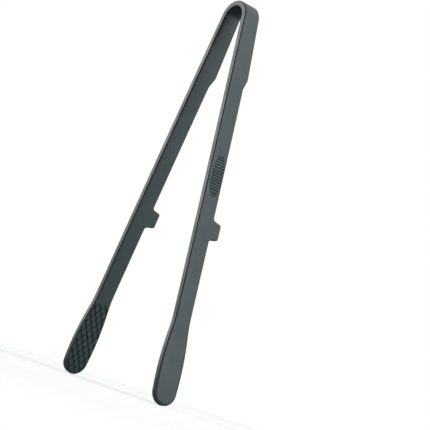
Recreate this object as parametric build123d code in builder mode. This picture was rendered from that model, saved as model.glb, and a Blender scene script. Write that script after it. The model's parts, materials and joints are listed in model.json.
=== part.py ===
"""Spring loaded kitchen tongs: a U of spring steel strip inside a moulded silicone sleeve.

Frame: +Z up, the tongs standing on their tips with the bow on top. X runs across the jaws,
Y runs along the width of the strip and the rest tabs point to +Y. The origin is the middle of
the footprint, on the floor. Millimetres and degrees. The two arms mirror each other in X = 0.
"""

import os
from math import atan2, ceil, cos, degrees, radians, sin, sqrt

from build123d import *

# --- the strip, seen on edge ---------------------------------------------------------------
arm_length = 290.0  # along one arm, from the bow to the end of the tip
arm_lean = 9.24  # how far each open arm leans out, over its whole length
arm_bulge = 0.68  # how far each arm bows outwards at its middle
bow_radius = 11.34  # to the middle of the strip's thickness
strip_thickness = 4.6
edge_radius = 1.0  # rounding along the edges of the sleeve

# --- the strip, seen on its face -----------------------------------------------------------
bow_width = 14.3
shoulder_width = 16.45  # widest place of the hand end, just before it steps in
shoulder_start = 45.5  # distance below the bow
shoulder_run = 8.0  # length of the step from the shoulder to the arm
shoulder_radius = 6.0
arm_width = 13.9
paddle_width = 20.4
flare_length = 66.0  # from where the arm starts to widen to the end of the tip
paddle_peak = 23.0  # from the widest place of the paddle to the end of the tip
flare_hollow_share = 0.33  # share of the flare that curves outwards

# --- rest tab: keeps the tips off the worktop when the tongs lie down ----------------------
tab_position = 160.8  # middle of the tab below the bow
tab_foot = 14.8  # along the arm, where it leaves the strip
tab_end = 11.5  # along the arm, at its outer edge
tab_reach = 7.8  # beyond the edge of the arm
tab_foot_radius = 2.2
tab_end_radius = 1.7

# --- thumb grip: fine cross ribs in a lens on the outer face -------------------------------
rib_count = 15
rib_pitch = 2.07
rib_groove_width = 1.0
rib_groove_depth = 0.4
grip_position = 122.6  # middle of the lens below the bow
grip_width = 10.6
grip_offset = 0.6  # from the middle of the arm to the middle of the lens, towards the tabs

# --- tip grip: diamonds between crossing grooves on the inner face -------------------------
diamond_width = 5.35
diamond_length = 8.0
hatch_groove_width = 0.9
hatch_groove_depth = 0.55
hatch_length = 56.5  # from its upper edge to the end of the tip
hatch_rim = 1.0  # plain rim left around the pattern

# --- spring steel core ---------------------------------------------------------------------
core_thickness = 1.0
core_edge_cover = 2.55  # silicone between the core's edge and the edge of the arm
core_tip_cover = 24.0  # silicone beyond the end of the core
core_end_radius = 3.0
lock_hole_radius = 1.9  # silicone flows through these holes and holds the sleeve on
lock_hole_first = 30.0  # below the bow
lock_hole_pitch = 38.0
lock_hole_count = 6

# --- worked out from the sizes above -------------------------------------------------------
curve_half_turn = degrees(4 * arm_bulge / arm_length)
start_angle = arm_lean + curve_half_turn
curve_radius = arm_length / radians(2 * curve_half_turn)
half_thickness = strip_thickness / 2
half_arm = arm_width / 2
core_width = arm_width - 2 * core_edge_cover
widest_half = max(paddle_width / 2, half_arm)
middle_y = (widest_half - half_arm - tab_reach) / 2
cutter_reach = 2 * (shoulder_width + paddle_width + tab_reach)
cut_margin = 0.3  # cutters start this far outside the face they cut


def outward(angle):
    """Unit vector that points straight out of the right arm where it leans by this angle."""
    return Vector(cos(radians(angle)), 0, sin(radians(angle)))


def downward(angle):
    """Unit vector along the right arm, towards the tip."""
    return Vector(sin(radians(angle)), 0, -cos(radians(angle)))


def lean_at(distance):
    return start_angle - 2 * curve_half_turn * distance / arm_length


def below_bow(distance, offset):
    """Point of the right arm's curve, measured from the middle of the bow."""
    curve_centre = outward(start_angle) * (bow_radius - curve_radius)
    return curve_centre + outward(lean_at(distance)) * (curve_radius + offset)


lowest_round = (
    outward(start_angle) * bow_radius
    + downward(arm_lean) * (arm_length - edge_radius)
    + outward(arm_lean) * (edge_radius - half_thickness)
)
bow_height = edge_radius - lowest_round.Z
bow_centre = Vector(0, middle_y, bow_height)
edge_plane = Plane(origin=bow_centre, x_dir=(1, 0, 0), z_dir=(0, -1, 0))


def face_plane(distance, offset):
    """Plane that touches the right arm at distance below the bow, offset from its middle.

    x is the distance below the bow, y runs across the strip and z out of its outer face.
    """
    lean = lean_at(distance)
    touch = bow_centre + below_bow(distance, offset)
    return Plane(touch - downward(lean) * distance, x_dir=downward(lean), z_dir=outward(lean))


# The whole arm is cut out across its thickness, from a plane square to its mean direction.
arm_plane = Plane(
    origin=bow_centre + outward(start_angle) * bow_radius,
    x_dir=downward(arm_lean),
    z_dir=outward(arm_lean),
)


def draw_edge_curve(thickness):
    """The right arm on edge, drawn past the tip, for a sketch on edge_plane."""
    length = arm_length + arm_width
    stops = (0, length / 2, length)
    outer = [below_bow(stop, thickness / 2) for stop in stops]
    inner = [below_bow(stop, -thickness / 2) for stop in stops]
    outer = [(point.X, point.Z) for point in outer]
    inner = [(point.X, point.Z) for point in inner]
    ThreePointArc(*outer)
    Line(outer[2], inner[2])
    ThreePointArc(*inner)
    Line(inner[0], outer[0])


def draw_paddle(width, length):
    """Both flares and the round nose of the paddle on its face, open towards the bow."""
    start = arm_length - flare_length
    peak = arm_length - paddle_peak
    rise = (paddle_width - arm_width) / 2
    run = peak - start
    inset = (paddle_width - width) / 2
    crown_radius = (1 - flare_hollow_share) * (run**2 + rise**2) / (2 * rise) - inset
    crown_depth = crown_radius - width / 2
    nose_run = length - peak
    spare = crown_radius - nose_run
    nose_radius = (crown_radius**2 - crown_depth**2 - nose_run**2) / (2 * spare)
    reach = crown_radius / (crown_radius - nose_radius)
    nose_start = peak + (nose_run - nose_radius) * reach
    nose_half = crown_depth * reach - crown_depth
    turn_x = start + flare_hollow_share * run
    turn_y = width / 2 - (1 - flare_hollow_share) * rise
    low = width / 2 - rise
    for side in (1, -1):
        TangentArc((start, side * low), (turn_x, side * turn_y), tangent=(1, 0))
        TangentArc((peak, side * width / 2), (turn_x, side * turn_y), tangent=(-1, 0))
        TangentArc((peak, side * width / 2), (nose_start, side * nose_half), tangent=(1, 0))
    ThreePointArc((nose_start, -nose_half), (length, 0), (nose_start, nose_half))
    return (start, -low), (start, low)


# --- steel core ----------------------------------------------------------------------------
# The bow of the strip: the part that bends and pushes the arms apart.
with BuildPart() as bow_spring:
    with BuildSketch(edge_plane):
        with BuildLine():
            core_outside = bow_radius + core_thickness / 2
            core_inside = bow_radius - core_thickness / 2
            sweep = 180 - 2 * start_angle
            over = CenterArc((0, 0), core_outside, start_angle, sweep)
            under = CenterArc((0, 0), core_inside, start_angle, sweep)
            Line(over @ 0, under @ 0)
            Line(over @ 1, under @ 1)
        make_face()
    extrude(amount=core_width / 2, both=True)

# The right leg of the strip, straight sided, with a row of holes that lock the sleeve on.
with BuildPart() as right_blade:
    with BuildSketch(edge_plane):
        with BuildLine():
            draw_edge_curve(core_thickness)
        make_face()
    extrude(amount=core_width, both=True)
    with BuildSketch(arm_plane.offset(-cutter_reach)):
        core_length = arm_length - core_tip_cover
        with Locations(((core_length - core_width) / 2, 0)):
            RectangleRounded(core_length + core_width, core_width, core_end_radius)
    extrude(amount=2 * cutter_reach, mode=Mode.INTERSECT)
    with BuildSketch(arm_plane.offset(-cutter_reach)):
        for index in range(lock_hole_count):
            with Locations((lock_hole_first + index * lock_hole_pitch, 0)):
                Circle(lock_hole_radius)
    extrude(amount=2 * cutter_reach, mode=Mode.SUBTRACT)

# --- silicone sleeve -----------------------------------------------------------------------
# Over the bow: a tube of constant section around the bow of the strip.
with BuildPart() as bow_sleeve:
    with BuildSketch(edge_plane.offset(half_arm)):
        with BuildLine():
            sleeve_outside = bow_radius + half_thickness
            sleeve_inside = bow_radius - half_thickness
            over = CenterArc((0, 0), sleeve_outside, start_angle, sweep)
            under = CenterArc((0, 0), sleeve_inside, start_angle, sweep)
            Line(over @ 0, under @ 0)
            Line(over @ 1, under @ 1)
        make_face()
    extrude(amount=-bow_width)
    long_edges = bow_sleeve.edges().filter_by(GeomType.CIRCLE)
    fillet(long_edges, radius=edge_radius)
    add(bow_spring.part, mode=Mode.SUBTRACT)

# Over the right leg: shoulder, thumb grip, rest tab and paddle are moulded in one.
with BuildPart() as right_sleeve:
    with BuildSketch(edge_plane):
        with BuildLine():
            draw_edge_curve(strip_thickness)
        make_face()
    extrude(amount=cutter_reach, both=True)

    tab_end_y = half_arm + tab_reach
    with BuildSketch(arm_plane.offset(-cutter_reach)) as face_outline:
        with BuildLine():
            near_start, far_start = draw_paddle(paddle_width, arm_length)
            Polyline(
                near_start,
                (-bow_width, -half_arm),
                (-bow_width, bow_width - half_arm),
                (0, bow_width - half_arm),
                (shoulder_start, shoulder_width - half_arm),
                (shoulder_start + shoulder_run, half_arm),
                (tab_position - tab_foot / 2, half_arm),
                (tab_position - tab_end / 2, tab_end_y),
                (tab_position + tab_end / 2, tab_end_y),
                (tab_position + tab_foot / 2, half_arm),
                far_start,
            )
        make_face()
        step = (shoulder_start - cut_margin, shoulder_start + shoulder_run + cut_margin)
        fillet(face_outline.vertices().filter_by_position(Axis.X, *step), shoulder_radius)
        tab = (tab_position - tab_foot / 2 - cut_margin, tab_position + tab_foot / 2 + cut_margin)
        tab_corners = face_outline.vertices().filter_by_position(Axis.X, *tab)
        fillet(tab_corners.group_by(Axis.Y)[0], tab_foot_radius)
        fillet(face_outline.vertices().group_by(Axis.Y)[-1], tab_end_radius)
    extrude(amount=2 * cutter_reach, mode=Mode.INTERSECT)

    broad_faces = right_sleeve.faces().sort_by(SortBy.AREA)[-2:]
    rim_edges = broad_faces.edges().filter_by(
        lambda edge: (edge.center() - bow_centre).dot(downward(start_angle)) > edge_radius
    )
    fillet(rim_edges, radius=edge_radius)
    add(right_blade.part, mode=Mode.SUBTRACT)

    # thumb grip
    with BuildSketch(face_plane(grip_position, half_thickness + cut_margin)):
        grip_length = (rib_count + 1) * rib_pitch
        for index in range(rib_count):
            along = (index - (rib_count - 1) / 2) * rib_pitch
            across = grip_width * sqrt(1 - (2 * along / grip_length) ** 2)
            with Locations((grip_position + along, grip_offset)):
                SlotOverall(across, rib_groove_width, rotation=90)
    extrude(amount=-cut_margin - rib_groove_depth, mode=Mode.SUBTRACT)

    # tip grip
    hatch_top = arm_length - hatch_length
    hatch_middle = arm_length - hatch_length / 2
    hatch_plane = face_plane(hatch_middle, -half_thickness - cut_margin)
    groove_turn = degrees(atan2(diamond_width, diamond_length))
    groove_reach = 2 * paddle_width * diamond_length / diamond_width
    crossing_count = ceil(hatch_length / diamond_length) + 2
    with BuildSketch(hatch_plane):
        for index in range(-2, crossing_count):
            with Locations((hatch_top + (index + 0.5) * diamond_length, 0)):
                Rectangle(groove_reach, hatch_groove_width, rotation=groove_turn)
                Rectangle(groove_reach, hatch_groove_width, rotation=-groove_turn)
        with BuildLine():
            Line(*draw_paddle(paddle_width - 2 * hatch_rim, arm_length - hatch_rim))
        make_face(mode=Mode.INTERSECT)
        with Locations((hatch_middle, 0)):
            Rectangle(hatch_length, paddle_width, mode=Mode.INTERSECT)
    extrude(amount=cut_margin + hatch_groove_depth, mode=Mode.SUBTRACT)

# --- left arm: the mirror image ------------------------------------------------------------
with BuildPart() as left_blade:
    mirror(right_blade.part, about=Plane.YZ)

with BuildPart() as left_sleeve:
    mirror(right_sleeve.part, about=Plane.YZ)

bow_spring.part.label = "bow_spring"
right_blade.part.label = "right_blade"
left_blade.part.label = "left_blade"
bow_sleeve.part.label = "bow_sleeve"
right_sleeve.part.label = "right_sleeve"
left_sleeve.part.label = "left_sleeve"

os.makedirs("parts", exist_ok=True)
export_step(bow_spring.part, "parts/bow_spring.step")
export_step(right_blade.part, "parts/right_blade.step")
export_step(left_blade.part, "parts/left_blade.step")
export_step(bow_sleeve.part, "parts/bow_sleeve.step")
export_step(right_sleeve.part, "parts/right_sleeve.step")
export_step(left_sleeve.part, "parts/left_sleeve.step")

print("bow centre above the floor", round(bow_height, 3))
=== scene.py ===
# %% [markdown]
# # Spring loaded kitchen tongs
# The tongs are one springy steel strip bent into a tall U and moulded into satin slate silicone.
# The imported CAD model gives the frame: a bow that the tongs hang from and two arms that squeeze
# together. This script gives them their skin, their finish, and a small studio.
# Lengths are metres. X runs across the jaws, Y along the width of the strip, Z up.

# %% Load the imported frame
import json
from math import asin, atan2, cos, pi, radians, sin, sqrt, tan

import bmesh
import bpy
from mathutils import Matrix, Vector, kdtree


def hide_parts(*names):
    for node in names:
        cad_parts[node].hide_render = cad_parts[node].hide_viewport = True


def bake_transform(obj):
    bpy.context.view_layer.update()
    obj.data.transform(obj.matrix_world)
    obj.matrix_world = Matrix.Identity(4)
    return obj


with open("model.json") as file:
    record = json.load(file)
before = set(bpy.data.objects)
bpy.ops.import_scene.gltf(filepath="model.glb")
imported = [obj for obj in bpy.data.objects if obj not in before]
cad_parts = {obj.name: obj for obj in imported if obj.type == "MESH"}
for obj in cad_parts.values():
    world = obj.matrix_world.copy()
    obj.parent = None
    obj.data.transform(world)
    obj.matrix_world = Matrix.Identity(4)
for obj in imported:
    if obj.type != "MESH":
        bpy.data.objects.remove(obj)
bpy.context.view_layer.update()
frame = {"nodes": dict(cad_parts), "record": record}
squeeze = frame["record"]["behaviour"]["joints"][0]
bow_centre = Vector(squeeze["pos_m"])
MM = 0.001
TINY = 1e-6  # a micrometre: closer than this counts as the same place
LEVEL = 1e-9  # smaller height differences count as none
print("bow centre", [round(value, 4) for value in bow_centre])

# %% [markdown]
# ## Camera
# A long lens a metre away keeps the arms almost parallel in the picture. The camera sits low, just
# above the floor, turned towards the right arm, and rolled so that the tongs lean to one side.
# It comes first, because every later choice is judged through it.

# %% Camera
camera_data = bpy.data.cameras.new("studio camera")
camera_data.lens = 129.07
camera_data.sensor_width = 36.0
camera_data.clip_start = 0.05
camera_data.clip_end = 20.0
camera = bpy.data.objects.new("studio camera", camera_data)
bpy.context.scene.collection.objects.link(camera)

CAMERA_PLACE = Vector((0.89134, -0.67232, 0.01603))
CAMERA_TURN = radians(51.585)  # round the object, from straight in front
CAMERA_RISE = radians(-6.46)  # a little below level, so it looks slightly up
CAMERA_ROLL = radians(18.694)
camera.matrix_world = (
    Matrix.Translation(CAMERA_PLACE)
    @ Matrix.Rotation(CAMERA_TURN, 4, "Z")
    @ Matrix.Rotation(pi / 2 - CAMERA_RISE, 4, "X")
    @ Matrix.Rotation(CAMERA_ROLL, 4, "Z")
)
bpy.context.scene.camera = camera
print("camera", [round(value, 3) for value in camera.matrix_world.translation])

# %% [markdown]
# ## The shape of the strip
# The tongs are easiest to model unrolled. On the bench each half is a flat plate: x runs down
# the arm from the bow, y across the strip, z out of its outer face. Later the plate is wrapped
# along the real line, a round bow and a leg with a slight outward bulge. These are the sizes
# that both steps share.

# %% Sizes of the strip
ARM_LENGTH = 290.0 * MM  # from the end of the bow to the tip
ARM_LEAN = radians(9.24)
ARM_BULGE = 0.68 * MM
BOW_RADIUS = 11.34 * MM  # to the middle of the thickness
THICKNESS = 4.6 * MM
EDGE_RADIUS = 1.0 * MM

CURVE_HALF_TURN = 4 * ARM_BULGE / ARM_LENGTH
START_ANGLE = ARM_LEAN + CURVE_HALF_TURN  # where the bow hands over to the arm
CURVE_RADIUS = ARM_LENGTH / (2 * CURVE_HALF_TURN)
BOW_LENGTH = BOW_RADIUS * (pi / 2 - START_ANGLE)  # from the top of the bow to that place
HALF = THICKNESS / 2
print("half a bow is", round(BOW_LENGTH / MM, 2), "mm long")


def outward(angle):
    return Vector((cos(angle), 0, sin(angle)))


def wrap(bench):
    """Where a point on the bench goes on the right half of the tongs."""
    along, across, out = bench
    if along < 0:
        place = outward(START_ANGLE - along / BOW_RADIUS) * (BOW_RADIUS + out)
    else:
        lean = START_ANGLE - 2 * CURVE_HALF_TURN * along / ARM_LENGTH
        place = outward(START_ANGLE) * (BOW_RADIUS - CURVE_RADIUS)
        place += outward(lean) * (CURVE_RADIUS + out)
    return bow_centre + place + Vector((0, across, 0))


# %% Sizes of the outline
HALF_ARM = 6.95 * MM
BOW_FAR_SIDE = 7.35 * MM  # the bow is a little wider on the side of the rest tabs
SHOULDER = Vector((45.5, 9.5, 0)) * MM
SHOULDER_FOOT = Vector((53.5, 6.95, 0)) * MM
SHOULDER_ROUND = 6.0 * MM
TAB_MIDDLE = 160.8 * MM
TAB_FOOT = 14.8 * MM
TAB_END = 11.5 * MM
TAB_TOP = 14.75 * MM
TAB_FOOT_ROUND = 2.2 * MM
TAB_END_ROUND = 1.7 * MM

FLARE_START = 224.0 * MM
PADDLE_PEAK = 267.0 * MM
PADDLE_HALF = 10.2 * MM
HOLLOW_SHARE = 0.33
PADDLE_HEART = Vector((255.0, 0, 0)) * MM  # well inside the paddle

HOLLOW_STEPS = 8
CROWN_STEPS = 12
NOSE_STEPS = 40
CORNER_SEGMENTS = 6

# %% [markdown]
# ## The paddle's curve
# Each side of the paddle is a hollow arc that swells into a long crown arc, and the two crowns
# meet in a round nose. All three arcs touch smoothly, so three radii and three angles say it all.
# `spin` sweeps the last vertex along each arc in turn, like a pair of compasses.

# %% Radii of the paddle
rise = PADDLE_HALF - HALF_ARM
run = PADDLE_PEAK - FLARE_START
chord = (run**2 + rise**2) / (2 * rise)
HOLLOW_RADIUS = HOLLOW_SHARE * chord
CROWN_RADIUS = (1 - HOLLOW_SHARE) * chord
HOLLOW_TURN = asin(run / chord)
nose_run = ARM_LENGTH - PADDLE_PEAK
crown_depth = CROWN_RADIUS - PADDLE_HALF
NOSE_RADIUS = (CROWN_RADIUS**2 - crown_depth**2 - nose_run**2) / (2 * (CROWN_RADIUS - nose_run))
NOSE_LEAN = asin((nose_run - NOSE_RADIUS) / (CROWN_RADIUS - NOSE_RADIUS))
print("nose radius", round(NOSE_RADIUS / MM, 2), "mm, crown", round(CROWN_RADIUS / MM, 1), "mm")


def sweep_arc(bm, vert, centre, angle, steps):
    """Carries on the outline from vert along an arc, and returns the arc's last vertex."""
    swept = bmesh.ops.spin(
        bm, geom=[vert], cent=centre, axis=(0, 0, 1), angle=angle, steps=steps
    )
    return [item for item in swept["geom_last"] if isinstance(item, bmesh.types.BMVert)][0]


def draw_outline(bm):
    """The edge of the plate as a closed loop of edges, and the face that fills it."""
    near_start = bm.verts.new((FLARE_START, -HALF_ARM, 0))
    vert = near_start
    hollow = HALF_ARM + HOLLOW_RADIUS
    crown = CROWN_RADIUS - PADDLE_HALF
    crown_turn = HOLLOW_TURN + NOSE_LEAN
    vert = sweep_arc(bm, vert, (FLARE_START, -hollow, 0), -HOLLOW_TURN, HOLLOW_STEPS)
    vert = sweep_arc(bm, vert, (PADDLE_PEAK, crown, 0), crown_turn, CROWN_STEPS)
    vert = sweep_arc(bm, vert, (ARM_LENGTH - NOSE_RADIUS, 0, 0), pi - 2 * NOSE_LEAN, NOSE_STEPS)
    vert = sweep_arc(bm, vert, (PADDLE_PEAK, -crown, 0), crown_turn, CROWN_STEPS)
    vert = sweep_arc(bm, vert, (FLARE_START, hollow, 0), -HOLLOW_TURN, HOLLOW_STEPS)
    rest = [
        (TAB_MIDDLE + TAB_FOOT / 2, HALF_ARM, 0),
        (TAB_MIDDLE + TAB_END / 2, TAB_TOP, 0),
        (TAB_MIDDLE - TAB_END / 2, TAB_TOP, 0),
        (TAB_MIDDLE - TAB_FOOT / 2, HALF_ARM, 0),
        SHOULDER_FOOT,
        SHOULDER,
        (0, BOW_FAR_SIDE, 0),
        (-BOW_LENGTH, BOW_FAR_SIDE, 0),
        (-BOW_LENGTH, -HALF_ARM, 0),
    ]
    for place in rest:
        following = bm.verts.new(place)
        bm.edges.new((vert, following))
        vert = following
    bm.edges.new((vert, near_start))
    filled = bmesh.ops.contextual_create(bm, geom=bm.edges[:])
    return filled["faces"][0]


def turn_at(vert):
    """How sharply the outline turns at a vertex."""
    one, two = [edge.other_vert(vert).co - vert.co for edge in vert.link_edges]
    return pi - one.angle(two)


def round_corner(bm, place, radius):
    """Rounds the outline's corner at a place, to a radius."""
    vert = min(bm.verts, key=lambda v: (v.co - Vector(place)).length)
    bmesh.ops.bevel(
        bm,
        geom=[vert],
        offset=radius * tan(turn_at(vert) / 2),
        offset_type="OFFSET",
        affect="VERTICES",
        segments=CORNER_SEGMENTS,
        profile=0.5,
        material=-1,
    )


# %% [markdown]
# ## From outline to plate
# The filled outline is extruded to the strip's thickness, and the long rims are bevelled to the
# small radius that any moulding has. On the outer face the paddle's rim is softer: the same bevel
# drawn out into an ellipse, wide and shallow, that fades in along the flare.

# %% Cut out the plate
PADDLE_RIM_WIDTH = 2.5 * MM
PADDLE_RIM_DROP = 1.25 * MM
RIM_FADE = (222.0 * MM, 246.0 * MM)
RIM_SEGMENTS = 6


def thicken(bm, face):
    """Extrudes the filled outline into a plate, centred on z = 0."""
    bmesh.ops.translate(bm, vec=(0, 0, -HALF), verts=bm.verts)
    raised = bmesh.ops.extrude_face_region(bm, geom=[face], use_keep_orig=True)
    top = [item for item in raised["geom"] if isinstance(item, bmesh.types.BMVert)]
    bmesh.ops.translate(bm, vec=(0, 0, THICKNESS), verts=top)
    bmesh.ops.recalc_face_normals(bm, faces=bm.faces[:])


def at_apex(edge):
    return all(vert.co.x < -BOW_LENGTH + TINY for vert in edge.verts)


def note_stations(bm):
    """The outline's points, each with its inward direction, for widening the rim later."""
    stations = []
    for vert in bm.verts:
        if vert.co.z < 0:
            continue
        ends = [
            (edge.other_vert(vert).co - vert.co).normalized()
            for edge in vert.link_edges
            if abs(edge.other_vert(vert).co.z - vert.co.z) < LEVEL
        ]
        line = (ends[0] - ends[1]).normalized()
        inward = Vector((-line.y, line.x, 0))
        if inward.dot(PADDLE_HEART - vert.co) < 0:
            inward.negate()
        stations.append((vert.co.copy(), inward))
    return stations


def soften_rims(bm):
    rims = [
        edge
        for edge in bm.edges
        if abs(edge.verts[0].co.z - edge.verts[1].co.z) < LEVEL and not at_apex(edge)
    ]
    bmesh.ops.bevel(
        bm,
        geom=rims,
        offset=EDGE_RADIUS,
        offset_type="OFFSET",
        affect="EDGES",
        segments=RIM_SEGMENTS,
        profile=0.5,
        clamp_overlap=False,
        material=-1,
    )


def smoothstep(value, low, high):
    share = min(max((value - low) / (high - low), 0), 1)
    return share * share * (3 - 2 * share)


def widen_paddle_rim(bm, stations):
    """Draws the bevel of the paddle's outer face out to a wide, shallow ellipse."""
    tree = kdtree.KDTree(len(stations))
    for index, (place, _) in enumerate(stations):
        tree.insert((place.x, place.y, 0), index)
    tree.balance()
    for vert in bm.verts:
        share = smoothstep(vert.co.x, *RIM_FADE)
        if share == 0 or vert.co.z < HALF - EDGE_RADIUS - TINY:
            continue
        index = tree.find((vert.co.x, vert.co.y, 0))[1]
        place, inward = stations[index]
        flat = Vector((vert.co.x, vert.co.y, 0)) - Vector((place.x, place.y, 0))
        depth = flat.dot(inward)
        wide = 1 + share * (PADDLE_RIM_WIDTH / EDGE_RADIUS - 1)
        deep = 1 + share * (PADDLE_RIM_DROP / EDGE_RADIUS - 1)
        vert.co += inward * depth * (wide - 1)
        vert.co.z = HALF - (HALF - vert.co.z) * deep


# %% [markdown]
# ## Grips
# Both grips are sunk into flat faces, so they are cut in the same way. `bisect_plane` scores the
# face along the sides of every groove, then the scored strips are inset and pushed down in one go.
# The small inset gives the walls the slope that lets a moulding leave its tool, and a fine bevel
# takes the sharpness off the upper edges.

# %% Tools for cutting grooves
GROOVE_SLOPE = 0.14 * MM
GROOVE_SOFTNESS = 0.13 * MM
# The grooves take the second material of the skin, whose darker colour is painted shade.
GROOVE_SHADE_SLOT = 1  # second material of the skin
SQUARELY = 0.99  # how much of a flat face's normal must point straight out
SAME_PLANE = 1e-8


def score(bm, faces, place, direction):
    """Cuts only these faces with a plane."""
    geom = set(faces)
    for face in faces:
        geom.update(face.edges)
        geom.update(face.verts)
    bmesh.ops.bisect_plane(
        bm, geom=list(geom), dist=SAME_PLANE, plane_co=place, plane_no=direction
    )


def flat_faces(bm, side, low, high):
    """Flat faces on the plate's outer (1) or inner (-1) side that reach between two x's."""
    found = []
    for face in bm.faces:
        level = face.calc_center_median().z
        if side * face.normal.z > SQUARELY and abs(level - side * HALF) < TINY:
            along = [vert.co.x for vert in face.verts]
            if min(along) < high - TINY and max(along) > low + TINY:
                found.append(face)
    return found


def sink(bm, faces, depth):
    """Pushes scored faces down to make grooves, with sloping walls and soft upper edges."""
    level = faces[0].calc_center_median().z
    lowered = bmesh.ops.inset_region(
        bm,
        faces=faces,
        thickness=GROOVE_SLOPE,
        depth=-depth,
        use_boundary=True,
        use_even_offset=True,
    )
    upper = set()
    # Groove floors and walls take the second material, whose darker colour is painted shade.
    for face in faces:
        face.material_index = GROOVE_SHADE_SLOT
    for wall in lowered["faces"]:
        wall.material_index = GROOVE_SHADE_SLOT
        for edge in wall.edges:
            if all(abs(vert.co.z - level) < TINY for vert in edge.verts):
                upper.add(edge)
    bmesh.ops.bevel(
        bm,
        geom=list(upper),
        offset=GROOVE_SOFTNESS,
        offset_type="OFFSET",
        affect="EDGES",
        segments=2,
        profile=0.5,
        clamp_overlap=False,
        material=-1,
    )


# %% Thumb grip on the outer face
RIB_COUNT = 15
RIB_PITCH = 2.07 * MM
RIB_WIDTH = 1.0 * MM
RIB_DEPTH = 0.4 * MM
GRIP_MIDDLE = 122.6 * MM
GRIP_WIDTH = 10.6 * MM
GRIP_SHIFT = 0.6 * MM


def cut_thumb_grip(bm):
    """Fine cross grooves whose lengths follow a lens."""
    grip_half = (RIB_COUNT + 1) * RIB_PITCH / 2
    grooves = []
    for number in range(RIB_COUNT):
        along = (number - (RIB_COUNT - 1) / 2) * RIB_PITCH
        grooves.append((GRIP_MIDDLE + along, GRIP_WIDTH / 2 * sqrt(1 - (along / grip_half) ** 2)))
    for middle, _ in grooves:
        for edge in (middle - RIB_WIDTH / 2, middle + RIB_WIDTH / 2):
            face = flat_faces(bm, 1, edge - 2 * TINY, edge + 2 * TINY)
            score(bm, face, (edge, 0, 0), (1, 0, 0))
    for middle, reach in grooves:
        for edge in (GRIP_SHIFT - reach, GRIP_SHIFT + reach):
            strip = flat_faces(bm, 1, middle - RIB_WIDTH / 2, middle + RIB_WIDTH / 2)
            score(bm, strip, (middle, edge, 0), (0, 1, 0))
    sunk = []
    for middle, reach in grooves:
        for face in flat_faces(bm, 1, middle - RIB_WIDTH / 2, middle + RIB_WIDTH / 2):
            if abs(face.calc_center_median().y - GRIP_SHIFT) < reach:
                sunk.append(face)
    sink(bm, sunk, RIB_DEPTH)
    print(len(sunk), "thumb grooves")


# %% Tip grip on the inner face
DIAMOND_WIDTH = 5.35 * MM
DIAMOND_LENGTH = 8.0 * MM
HATCH_GROOVE_WIDTH = 1.0 * MM
HATCH_GROOVE_DEPTH = 0.7 * MM
HATCH_TOP = 233.5 * MM
BELOW_TAB = 180.0 * MM  # from here on the inner face carries nothing but the hatching
HATCH_LINES = range(-4, 12)
SMALLEST_DIAMOND = 0.7 * MM * MM  # smaller scraps at the rim go into the groove


def cut_tip_grip(bm):
    """Two families of crossing grooves that leave raised diamonds."""
    turn = atan2(DIAMOND_WIDTH, DIAMOND_LENGTH)
    across_a = Vector((-sin(turn), cos(turn), 0))
    across_b = Vector((sin(turn), cos(turn), 0))
    pitch = DIAMOND_LENGTH * sin(turn)
    score(bm, flat_faces(bm, -1, BELOW_TAB, ARM_LENGTH), (HATCH_TOP, 0, 0), (1, 0, 0))
    start = Vector((HATCH_TOP + DIAMOND_LENGTH / 2, 0, 0))
    for across in (across_a, across_b):
        for number in HATCH_LINES:
            line = start + Vector((number * DIAMOND_LENGTH, 0, 0))
            for side in (-1, 1):
                place = line + across * (side * HATCH_GROOVE_WIDTH / 2)
                faces = flat_faces(bm, -1, HATCH_TOP, ARM_LENGTH)
                score(bm, faces, place, across)
    grooves = []
    for face in flat_faces(bm, -1, HATCH_TOP, ARM_LENGTH):
        if face.calc_area() < SMALLEST_DIAMOND:
            grooves.append(face)
            continue
        middle = face.calc_center_median() - start
        for across in (across_a, across_b):
            distance = middle.dot(across) % pitch
            if min(distance, pitch - distance) < HATCH_GROOVE_WIDTH / 2:
                grooves.append(face)
                break
    sink(bm, grooves, HATCH_GROOVE_DEPTH)
    print(len(grooves), "pieces of tip groove")


# %% [markdown]
# ## Wrap the plate round the bow
# A flat face can't bend where it has no edges, so the plate is first scored crosswise: finely
# along the bow, coarsely along the arm. Then every vertex goes to its place on the real line.
# The moulding is one piece on the real tongs. Here it is two halves that meet on top of the bow.
# The flat end where they meet is marked sharp, and the first slice is very thin, so the light runs
# across the joint without a line.

# %% Score and wrap
BOW_STEPS = 28
ARM_STEP = 11.0 * MM
TOP_SLICE = 0.02 * MM  # the very thin first slice on top of the bow


def score_crosswise(bm):
    places = [-BOW_LENGTH + TOP_SLICE]
    places += [-BOW_LENGTH * (1 - step / BOW_STEPS) for step in range(1, BOW_STEPS + 1)]
    along = ARM_STEP
    while along < FLARE_START:
        if abs(along - GRIP_MIDDLE) > RIB_COUNT * RIB_PITCH / 2 + RIB_WIDTH:
            places.append(along)
        along += ARM_STEP
    for along in places:
        score(bm, bm.faces[:], (along, 0, 0), (1, 0, 0))
    print(len(places), "cuts across the plate")


def mark_apex(bm):
    for edge in bm.edges:
        if at_apex(edge):
            edge.smooth = False


def add_piece(bm, name):
    """Turns a finished bmesh into an object at the origin, smoothly shaded."""
    mesh = bpy.data.meshes.new(name)
    bm.to_mesh(mesh)
    mesh.shade_smooth()
    piece = bpy.data.objects.new(name, mesh)
    bpy.context.scene.collection.objects.link(piece)
    weighted = piece.modifiers.new("flat faces shade flat", "WEIGHTED_NORMAL")
    weighted.keep_sharp = True
    weighted.weight = 60
    return piece


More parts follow.
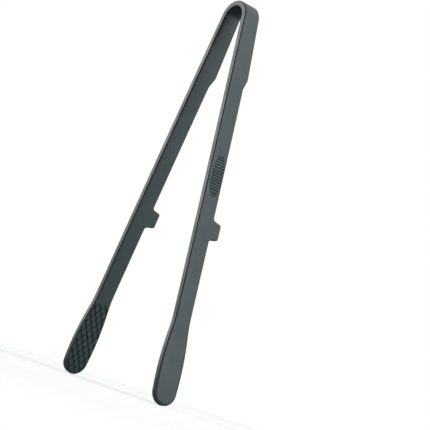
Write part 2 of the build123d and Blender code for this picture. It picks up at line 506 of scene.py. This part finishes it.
# %% Build the right half
plate = bmesh.new()
draw_outline(plate)
round_corner(plate, SHOULDER, SHOULDER_ROUND)
round_corner(plate, SHOULDER_FOOT, SHOULDER_ROUND)
for side in (-1, 1):
    round_corner(plate, (TAB_MIDDLE + side * TAB_FOOT / 2, HALF_ARM, 0), TAB_FOOT_ROUND)
    round_corner(plate, (TAB_MIDDLE + side * TAB_END / 2, TAB_TOP, 0), TAB_END_ROUND)
thicken(plate, plate.faces[:][0])
stations = note_stations(plate)
soften_rims(plate)
widen_paddle_rim(plate, stations)
cut_thumb_grip(plate)
cut_tip_grip(plate)
score_crosswise(plate)
mark_apex(plate)
for vert in plate.verts:
    vert.co = wrap(vert.co)
right_skin = add_piece(plate, "right_skin")
print("right skin", len(right_skin.data.vertices), "vertices")

# %% Mirror it for the left half
bmesh.ops.scale(plate, vec=(-1, 1, 1), verts=plate.verts)
bmesh.ops.reverse_faces(plate, faces=plate.faces)
left_skin = add_piece(plate, "left_skin")
plate.free()

# %% [markdown]
# ## Hide the sleeves that the skin replaces
# The CAD sleeves that the two halves of skin take the place of are hidden, and each half keeps the
# place it was built in. On the real tongs the sprung bow bends along its length as the arms
# squeeze.

# %% Hide the sleeves
bow_top = wrap((-BOW_LENGTH, 0, 0))
for piece, arm, side in ((right_skin, "right_arm", 1), (left_skin, "left_arm", -1)):
    arm_top = wrap((0, 0, 0))
    arm_top.x *= side
    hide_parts("bow_sleeve", arm.replace("arm", "sleeve"))
    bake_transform(piece)
    print(piece.name, "bends from the bow to", arm)

# %% [markdown]
# ## Silicone
# Moulded silicone has a soft satin skin: dark, barely coloured, with broad dim reflections. Up
# close it has a fine tooth from the mould, and its gloss drifts a little where hands polish it.
# Inside the grooves a second material is darker, which is painted shade, and it is rougher and
# less glossy.
# Noise textures on Object coordinates carry both, so nothing depends on a UV map.

# %% Helper for node trees
def new_finish(name):
    finish = bpy.data.materials.new(name)
    finish.use_nodes = True
    tree = finish.node_tree
    shader = next(node for node in tree.nodes if node.type == "BSDF_PRINCIPLED")
    return finish, tree, shader


def add_noise(tree, place, scale, detail, roughness=0.5):
    noise = tree.nodes.new("ShaderNodeTexNoise")
    noise.inputs["Scale"].default_value = scale
    noise.inputs["Detail"].default_value = detail
    noise.inputs["Roughness"].default_value = roughness
    tree.links.new(place, noise.inputs["Vector"])
    return noise.outputs["Fac"]


def add_range(tree, value, low, high, from_low=0.35, from_high=0.65):
    spread = tree.nodes.new("ShaderNodeMapRange")
    spread.inputs["From Min"].default_value = from_low
    spread.inputs["From Max"].default_value = from_high
    spread.inputs["To Min"].default_value = low
    spread.inputs["To Max"].default_value = high
    tree.links.new(value, spread.inputs["Value"])
    return spread.outputs["Result"]


def add_mix(tree, share, first, second):
    mix = tree.nodes.new("ShaderNodeMix")
    mix.data_type = "RGBA"
    tree.links.new(share, mix.inputs["Factor"])
    mix.inputs["A"].default_value = (*first, 1)
    mix.inputs["B"].default_value = (*second, 1)
    return mix.outputs["Result"]


def add_bump(tree, height, strength, distance, under=None):
    bump = tree.nodes.new("ShaderNodeBump")
    bump.inputs["Strength"].default_value = strength
    bump.inputs["Distance"].default_value = distance
    tree.links.new(height, bump.inputs["Height"])
    if under is not None:
        tree.links.new(under, bump.inputs["Normal"])
    return bump.outputs["Normal"]


# %% Slate silicone
SLATE_DARK = (0.025, 0.046, 0.049)
SLATE_LIGHT = (0.032, 0.058, 0.061)
# Darker copies of the slate for the grooves: painted shade, with the same random drift.
GROOVE_SHADE_DARK = (0.018, 0.032, 0.034)
GROOVE_SHADE_PALE = (0.022, 0.039, 0.041)

DRIFT_SCALE = 55.0  # noise scales are in repeats per metre
RIPPLE_SCALE = 170.0
TOOTH_SCALE = 2600.0
RIPPLE_HEIGHT = 0.1 * MM
TOOTH_HEIGHT = 0.04 * MM


def silicone_finish(name, dark, light, rough_low, rough_high, gloss):
    finish, tree, shader = new_finish(name)
    place = tree.nodes.new("ShaderNodeTexCoord").outputs["Object"]
    drift = add_noise(tree, place, DRIFT_SCALE, 3.0)
    tooth = add_noise(tree, place, TOOTH_SCALE, 2.0)
    ripple = add_noise(tree, place, RIPPLE_SCALE, 1.0)
    tree.links.new(add_mix(tree, drift, dark, light), shader.inputs["Base Color"])
    tree.links.new(add_range(tree, drift, rough_low, rough_high), shader.inputs["Roughness"])
    shader.inputs["Specular IOR Level"].default_value = gloss
    soft = add_bump(tree, ripple, 0.25, RIPPLE_HEIGHT)
    tree.links.new(add_bump(tree, tooth, 0.12, TOOTH_HEIGHT, soft), shader.inputs["Normal"])
    return finish


silicone = silicone_finish("slate silicone", SLATE_DARK, SLATE_LIGHT, 0.40, 0.48, 0.42)
# The grooves' material: a darker colour as painted shade, rougher and with less gloss.
painted_groove_shade = silicone_finish(
    "slate silicone, unpolished", GROOVE_SHADE_DARK, GROOVE_SHADE_PALE, 0.60, 0.70, 0.2
)
for piece in (right_skin, left_skin):
    piece.data.materials.append(silicone)
    piece.data.materials.append(painted_groove_shade)
print("silicone on", right_skin.name, "and", left_skin.name)

# %% [markdown]
# ## Spring steel
# The strip inside never shows from outside, but it is a real part, and it shows when the model is
# taken apart. Rolled stainless strip is bright, with fine lines along its length.

# %% Rolled steel
STEEL_DARK = (0.50, 0.51, 0.52)
STEEL_LIGHT = (0.64, 0.65, 0.66)
GRAIN_SCALE = (900.0, 9000.0, 60.0)  # lines run along the strip
GRAIN_HEIGHT = 0.01 * MM

steel, tree, shader = new_finish("rolled spring steel")
place = tree.nodes.new("ShaderNodeTexCoord").outputs["Object"]
grain_place = tree.nodes.new("ShaderNodeMapping")
grain_place.inputs["Scale"].default_value = GRAIN_SCALE
tree.links.new(place, grain_place.inputs["Vector"])
grain = add_noise(tree, grain_place.outputs["Vector"], 1.0, 3.0)
tree.links.new(add_mix(tree, grain, STEEL_DARK, STEEL_LIGHT), shader.inputs["Base Color"])
tree.links.new(add_range(tree, grain, 0.24, 0.36), shader.inputs["Roughness"])
tree.links.new(add_bump(tree, grain, 0.2, GRAIN_HEIGHT), shader.inputs["Normal"])
shader.inputs["Metallic"].default_value = 1.0
for node in ("bow_spring", "right_blade", "left_blade"):
    mesh = frame["nodes"][node].data
    mesh.materials.clear()
    mesh.materials.append(steel)
    print("steel on", node)

# %% [markdown]
# ## Floor, light and air
# The floor is a wide pale disc that fades out towards its rim, so that no hard edge cuts across
# the white studio. It looks pale but gives little light back, and less the further off it is.
# Five soft boxes light the tongs: one from the left, two from the right, a small one close to the
# bow, and one overhead. The air gives a weak fill, dimmest on the camera's side and from below, so
# the near edges keep a thin dark line.

# %% Floor
FLOOR_RADIUS = 0.75
FADE_START = 0.15
FADE_END = FLOOR_RADIUS * 0.9
PAPER_SEEN = (0.96, 0.96, 0.96)
PAPER_NEAR = (0.35, 0.35, 0.35)  # what it gives back to the object, close to its feet
PAPER_FAR = (0.1, 0.1, 0.1)  # and further off
NEAR_END = 0.1
FAR_START = 0.32

bm = bmesh.new()
bmesh.ops.create_circle(bm, cap_ends=True, segments=96, radius=FLOOR_RADIUS)
mesh = bpy.data.meshes.new("floor")
bm.to_mesh(mesh)
bm.free()
floor = bpy.data.objects.new("floor", mesh)
bpy.context.scene.collection.objects.link(floor)

paper, tree, shader = new_finish("studio paper")
shader.inputs["Roughness"].default_value = 0.95
shader.inputs["Specular IOR Level"].default_value = 0.0
place = tree.nodes.new("ShaderNodeTexCoord").outputs["Object"]
distance = tree.nodes.new("ShaderNodeVectorMath")
distance.operation = "LENGTH"
tree.links.new(place, distance.inputs[0])
seen_directly = tree.nodes.new("ShaderNodeLightPath").outputs["Is Camera Ray"]
far = add_range(tree, distance.outputs["Value"], 0.0, 1.0, NEAR_END, FAR_START)
returned = add_mix(tree, far, PAPER_NEAR, PAPER_FAR)
colour = add_mix(tree, seen_directly, PAPER_NEAR, PAPER_SEEN)
tree.links.new(returned, colour.node.inputs["A"])
tree.links.new(colour, shader.inputs["Base Color"])
fade = add_range(tree, distance.outputs["Value"], 1.0, 0.0, FADE_START, FADE_END)
tree.links.new(fade, shader.inputs["Alpha"])
floor.data.materials.append(paper)
print("floor", 2 * FLOOR_RADIUS, "m across")


# %% Soft boxes
def soft_box(name, place, aim, size, power):
    light_data = bpy.data.lights.new(name, "AREA")
    light_data.shape = "SQUARE"
    light_data.size = size
    light_data.energy = power
    light = bpy.data.objects.new(name, light_data)
    bpy.context.scene.collection.objects.link(light)
    turn = (Vector(aim) - Vector(place)).to_track_quat("-Z", "Y")
    light.matrix_world = Matrix.Translation(place) @ turn.to_matrix().to_4x4()
    light.visible_camera = False
    print(name, power, "W")


soft_box("left box", (-1.15, -1.05, 0.6), (0, 0, 0.15), 0.9, 19)
soft_box("right back box", (1.35, 1.1, 0.25), (0, 0, 0.15), 0.9, 7)
soft_box("right box", (1.4, 0.4, 0.85), (0, 0, 0.1), 0.8, 14)
soft_box("near box", (0.25, 0.32, 0.66), (0.01, 0, 0.27), 0.4, 0.9)
soft_box("top box", (-0.3, 0.2, 1.7), (0, 0, 0.1), 1.6, 10)

# %% White air
AIR_STRENGTH = 0.25
AIR_COLOUR = (0.9, 0.96, 1.0)
AIR_DIMMEST = 0.1  # the share left on the camera's side, and below
CAMERA_SIDE = (0.78, -0.62, 0.0)
SIDE_FADE = (-0.1, 0.85)
SKY_FADE = (-0.3, 0.05)

world = bpy.data.worlds.new("studio air")
bpy.context.scene.world = world
world.use_nodes = True
tree = world.node_tree
tree.nodes.clear()
seen = tree.nodes.new("ShaderNodeBackground")
seen.inputs["Color"].default_value = (1, 1, 1, 1)
lit = tree.nodes.new("ShaderNodeBackground")
lit.inputs["Color"].default_value = (*AIR_COLOUR, 1)
direction = tree.nodes.new("ShaderNodeTexCoord").outputs["Object"]
frontness = tree.nodes.new("ShaderNodeVectorMath")
frontness.operation = "DOT_PRODUCT"
frontness.inputs[1].default_value = CAMERA_SIDE
tree.links.new(direction, frontness.inputs[0])
height = tree.nodes.new("ShaderNodeSeparateXYZ")
tree.links.new(direction, height.inputs["Vector"])
dimmest = AIR_STRENGTH * AIR_DIMMEST
open_sides = add_range(tree, frontness.outputs["Value"], AIR_STRENGTH, dimmest, *SIDE_FADE)
open_sky = add_range(tree, height.outputs["Z"], AIR_DIMMEST, 1.0, *SKY_FADE)
glow = tree.nodes.new("ShaderNodeMath")
glow.operation = "MULTIPLY"
tree.links.new(open_sides, glow.inputs[0])
tree.links.new(open_sky, glow.inputs[1])
tree.links.new(glow.outputs["Value"], lit.inputs["Strength"])
ray = tree.nodes.new("ShaderNodeLightPath")
choose = tree.nodes.new("ShaderNodeMixShader")
output = tree.nodes.new("ShaderNodeOutputWorld")
tree.links.new(ray.outputs["Is Camera Ray"], choose.inputs["Fac"])
tree.links.new(lit.outputs["Background"], choose.inputs[1])
tree.links.new(seen.outputs["Background"], choose.inputs[2])
tree.links.new(choose.outputs["Shader"], output.inputs["Surface"])
bpy.context.scene.view_settings.view_transform = "Standard"
print("air strength", AIR_STRENGTH)
